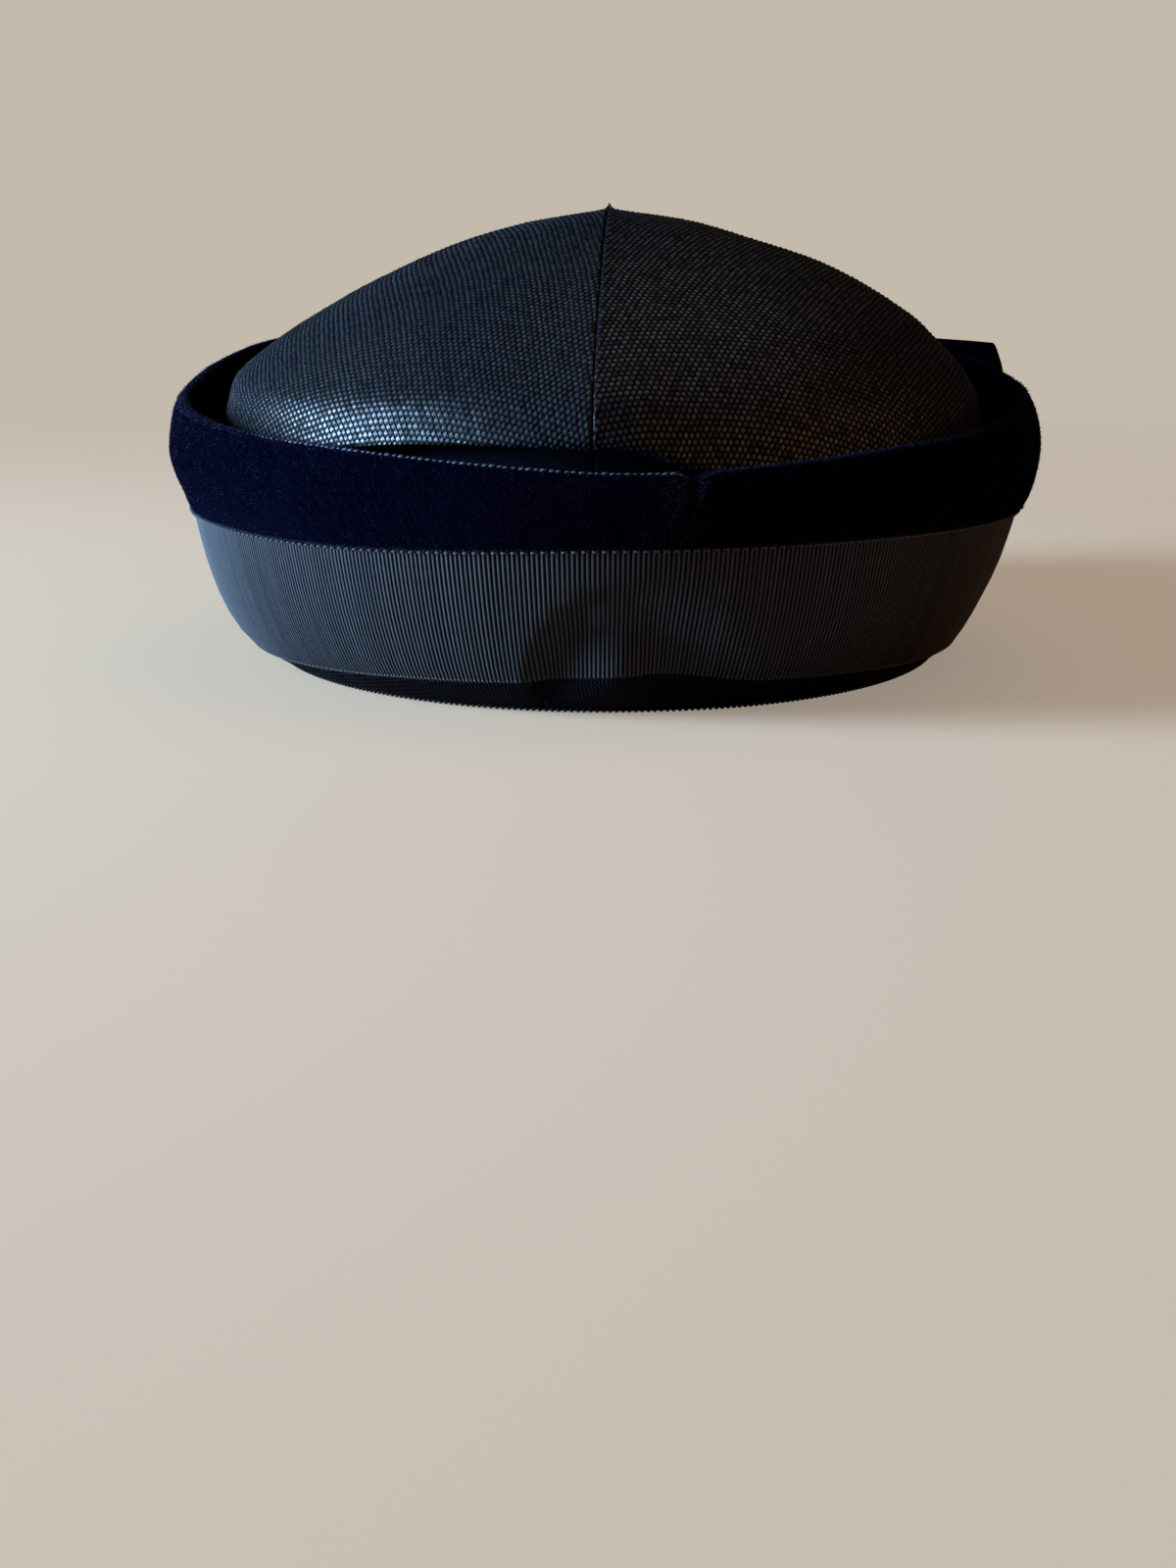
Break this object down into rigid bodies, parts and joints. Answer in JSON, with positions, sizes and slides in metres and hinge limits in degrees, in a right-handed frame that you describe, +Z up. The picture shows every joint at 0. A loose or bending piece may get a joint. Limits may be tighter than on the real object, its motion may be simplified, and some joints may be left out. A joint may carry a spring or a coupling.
{
  "type": "pillbox hat",
  "caption": "Pillbox-style hat: a pointed straw-cloth crown inside an upturned velvet brim, with a ribbed ribbon round the brim and a flat velvet loop beside the front.",
  "frame": {"origin": "bottom centre of the hat's box, in the middle of the head opening, on the surface that the hat rests on", "axes": "+Z up through the crown, -Y towards the back of the hat, +X towards the side with the velvet loop"},
  "size_m": [0.2116, 0.243, 0.1057],
  "materials": {
    "straw_cloth": "glossy plain-woven straw cloth",
    "velvet": "short-pile velvet, near-black navy",
    "grosgrain": "ribbed charcoal ribbon with looped edges",
    "head_ribbon": "ribbed black ribbon with looped edges"
  },
  "bodies": {
    "root": {"crown_left": "straw_cloth", "crown_right": "straw_cloth", "velvet_brim": "velvet", "grosgrain_band": "grosgrain", "head_ribbon": "head_ribbon", "velvet_loop": "velvet"}
  },
  "joints": []
}
